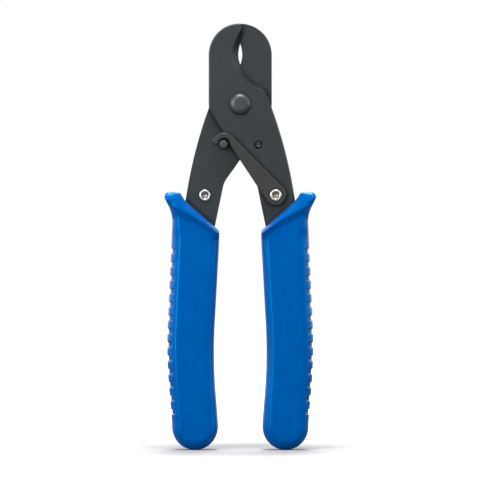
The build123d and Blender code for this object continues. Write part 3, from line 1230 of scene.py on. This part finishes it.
@dataclass(frozen=True)
class PlainSteel:
    """The CAD nodes that stay as they are: the blades, the latch, the washers and the stop pin.

    Attributes:
        nodes: Names of the nodes.
        latch_body: Main colour of the latch, whose oxide is a little browner.
        latch_cloud: Colour of the latch's mottles.
    """

    nodes: tuple[str, ...] = (
        "front_blade",
        "rear_blade",
        "pivot_washer",
        "latch",
        "latch_washer",
        "stop_pin",
    )
    latch_body: str = "#3F4140"
    latch_cloud: str = "#393B3A"

    def dress(self, frame: dict) -> list[bpy.types.Object]:
        """Gives each node its own skin of black oxide.

        Args:
            frame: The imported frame.

        Returns:
            The dressed nodes.
        """
        dressed = []
        for name in self.nodes:
            finish = BlackOxideSteel(f"{name}_oxide")
            if name == "latch":
                finish = replace(finish, body=self.latch_body, cloud=self.latch_cloud)
            piece = frame["nodes"][name]
            piece.data.materials.clear()
            piece.data.materials.append(finish.material())
            dressed.append(piece)
        return dressed


# Studio


@dataclass(frozen=True)
class Softbox:
    """A rectangular lamp that faces the tool.

    Attributes:
        name: Name of the lamp.
        azimuth: Degrees to the right of the camera, seen from above.
        elevation: Degrees above the floor.
        distance: Distance from the middle of the picture in metres.
        width: Width in metres.
        height: Height in metres.
        power: Power in watts.
    """

    name: str
    azimuth: float
    elevation: float
    distance: float
    width: float
    height: float
    power: float


@dataclass(frozen=True)
class Studio:
    """A pale floor, soft lamps and a camera straight in front, as in the photo.

    Attributes:
        softboxes: The lamps.
        camera_distance: Distance of the camera from the middle of the picture in metres.
        frame_height: Height that the picture shows there, in metres.
        frame_centre: Place of the picture's middle as x and z, in metres.
        sensor: Width of the camera's sensor in millimetres.
        ambient: Strength of the room's light on matt surfaces.
        floor_size: Side of the floor in metres.
        floor_tone: Colour of the floor to the camera, under its glow.
        bounce_tone: Colour of the floor to everything else.
        near_glow: Strength of the floor's glow under the tool, where the shadow is.
        far_glow: Strength further out, where the floor is white.
        glow_span: Distances from the middle between which the glow grows, in metres.
    """

    softboxes: tuple[Softbox, ...] = (
        Softbox("strip_left", -33.0, 6.0, 1.0, 0.04, 0.9, 7.0),
        Softbox("fill_left", -66.0, 10.0, 1.0, 1.0, 0.9, 4.2),
        Softbox("fill_right", 62.0, 10.0, 1.0, 0.8, 0.9, 3.2),
        Softbox("side_left", -112.0, 12.0, 1.2, 1.8, 1.4, 8.0),
        Softbox("side_right", 108.0, 12.0, 1.2, 1.8, 1.4, 7.0),
        Softbox("top_front", -5.0, 70.0, 0.7, 0.35, 0.25, 6.4),
        Softbox("top_back", 176.0, 68.0, 1.0, 0.25, 0.5, 9.5),
    )
    camera_distance: float = 1.5
    frame_height: float = 0.1859
    frame_centre: tuple[float, float] = (-0.0001, 0.0812)
    sensor: float = 36.0
    ambient: float = 0.1
    floor_size: float = 6.0
    floor_tone: str = "#A0A0A0"
    bounce_tone: str = "#7A7A7A"
    near_glow: float = 0.08
    far_glow: float = 1.0
    glow_span: tuple[float, float] = (0.025, 0.13)

    def build(self) -> None:
        """Makes everything that isn't part of the tool."""
        self._world()
        self._floor()
        for box in self.softboxes:
            self._lamp(box)
        self._camera()
        bpy.context.scene.view_settings.view_transform = "Standard"

    def _world(self) -> None:
        """White to the camera and in reflections, as a light tent is, and dim to all else."""
        world = bpy.data.worlds.new("studio_room")
        world.use_nodes = True
        tree = world.node_tree
        tree.nodes.clear()
        white = linear("#FFFFFF")
        path = add_node(tree, "ShaderNodeLightPath")
        room = add_node(tree, "ShaderNodeBackground", {"Color": white, "Strength": self.ambient})
        tent = add_node(tree, "ShaderNodeBackground", {"Color": white, "Strength": 1.0})
        seen = add_node(
            tree,
            "ShaderNodeMath",
            {"operation": "MAXIMUM"},
            {0: path.outputs["Is Camera Ray"], 1: path.outputs["Is Glossy Ray"]},
        )
        inputs = {0: seen.outputs[0], 1: room.outputs[0], 2: tent.outputs[0]}
        mixed = add_node(tree, "ShaderNodeMixShader", links=inputs)
        add_node(tree, "ShaderNodeOutputWorld", links={"Surface": mixed.outputs[0]})
        bpy.context.scene.world = world

    def _floor(self) -> None:
        """A matt sheet that glows white away from the tool and shows the grips' shadow near it."""
        material, tree, place = new_tree("studio_sheet")
        length = add_node(tree, "ShaderNodeVectorMath", {"operation": "LENGTH"}, {0: place})
        away = length.outputs["Value"]
        strength = ranged(tree, away, self.near_glow, self.far_glow, self.glow_span)
        white = {"Color": linear("#FFFFFF")}
        glow = add_node(tree, "ShaderNodeEmission", white, {"Strength": strength})
        sheet = add_node(tree, "ShaderNodeBsdfDiffuse", {"Color": linear(self.floor_tone)})
        lit = {0: sheet.outputs[0], 1: glow.outputs[0]}
        bright = add_node(tree, "ShaderNodeAddShader", links=lit)
        dim = add_node(tree, "ShaderNodeBsdfDiffuse", {"Color": linear(self.bounce_tone)})
        camera_ray = add_node(tree, "ShaderNodeLightPath").outputs["Is Camera Ray"]
        inputs = {0: camera_ray, 1: dim.outputs[0], 2: bright.outputs[0]}
        finished(tree, add_node(tree, "ShaderNodeMixShader", links=inputs))
        half = self.floor_size / 2 / MM
        corners = [(-half, -half, 0), (half, -half, 0), (half, half, 0), (-half, half, 0)]
        make_object("studio_floor", corners, [(0, 1, 2, 3)], material)

    def _aim(
        self, item: bpy.types.Object, azimuth: float, elevation: float, distance: float
    ) -> None:
        """Puts an item round the middle of the picture and turns it to face it.

        Args:
            item: A lamp or the camera.
            azimuth: Degrees to the right of the camera, seen from above.
            elevation: Degrees above the floor.
            distance: Distance from the middle of the picture in metres.
        """
        middle = Vector((self.frame_centre[0], 0, self.frame_centre[1]))
        turn, tilt = math.radians(azimuth), math.radians(elevation)
        ahead, aside = -math.cos(turn) * math.cos(tilt), math.sin(turn) * math.cos(tilt)
        away = Vector((aside, ahead, math.sin(tilt)))
        item.location = middle + away * distance
        item.rotation_euler = away.to_track_quat("Z", "Y").to_euler()

    def _lamp(self, box: Softbox) -> None:
        """Makes one lamp.

        Args:
            box: Its name, place, size and power.
        """
        light = bpy.data.lights.new(box.name, "AREA")
        light.shape = "RECTANGLE"
        light.size = box.width
        light.size_y = box.height
        light.energy = box.power
        lamp = bpy.data.objects.new(box.name, light)
        bpy.context.scene.collection.objects.link(lamp)
        self._aim(lamp, box.azimuth, box.elevation, box.distance)

    def _camera(self) -> None:
        """Makes the camera, straight in front with a long lens."""
        data = bpy.data.cameras.new("camera")
        data.sensor_width = self.sensor
        data.lens = self.sensor * self.camera_distance / self.frame_height
        camera = bpy.data.objects.new("camera", data)
        bpy.context.scene.collection.objects.link(camera)
        self._aim(camera, 0.0, 0.0, self.camera_distance)
        bpy.context.scene.camera = camera


def main() -> None:
    logging.basicConfig(level=logging.INFO, format="%(name)s: %(message)s")
    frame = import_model()
    Studio().build()
    grip_sizes = GripSizes(length=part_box("right_grip")[1].z / MM)
    for side, node, body in (
        (Side.LEFT, "left_grip", "left_handle"),
        (Side.RIGHT, "right_grip", "right_handle"),
    ):
        vinyl = MouldedVinyl(f"{node}_vinyl").material()
        report(Grip(side, grip_sizes).build(node, body, vinyl))
    report(PivotRivet().build())
    report(HollowRivet().build("latch_rivet", "right_handle"))
    report(HollowRivet().build("tang_rivet", "left_handle"))
    report(LatchPin().build())
    report(ReturnSpring().build(frame, BlackOxideSteel("spring_wire_oxide").material()))
    for piece in PlainSteel().dress(frame):
        report(piece)


def report(piece: bpy.types.Object) -> None:
    """Reports a piece and its finish in the log."""
    finish = piece.data.materials[0].name
    LOG.info("%s: %d faces, %s", piece.name, len(piece.data.polygons), finish)


if __name__ == "__main__":
    main()
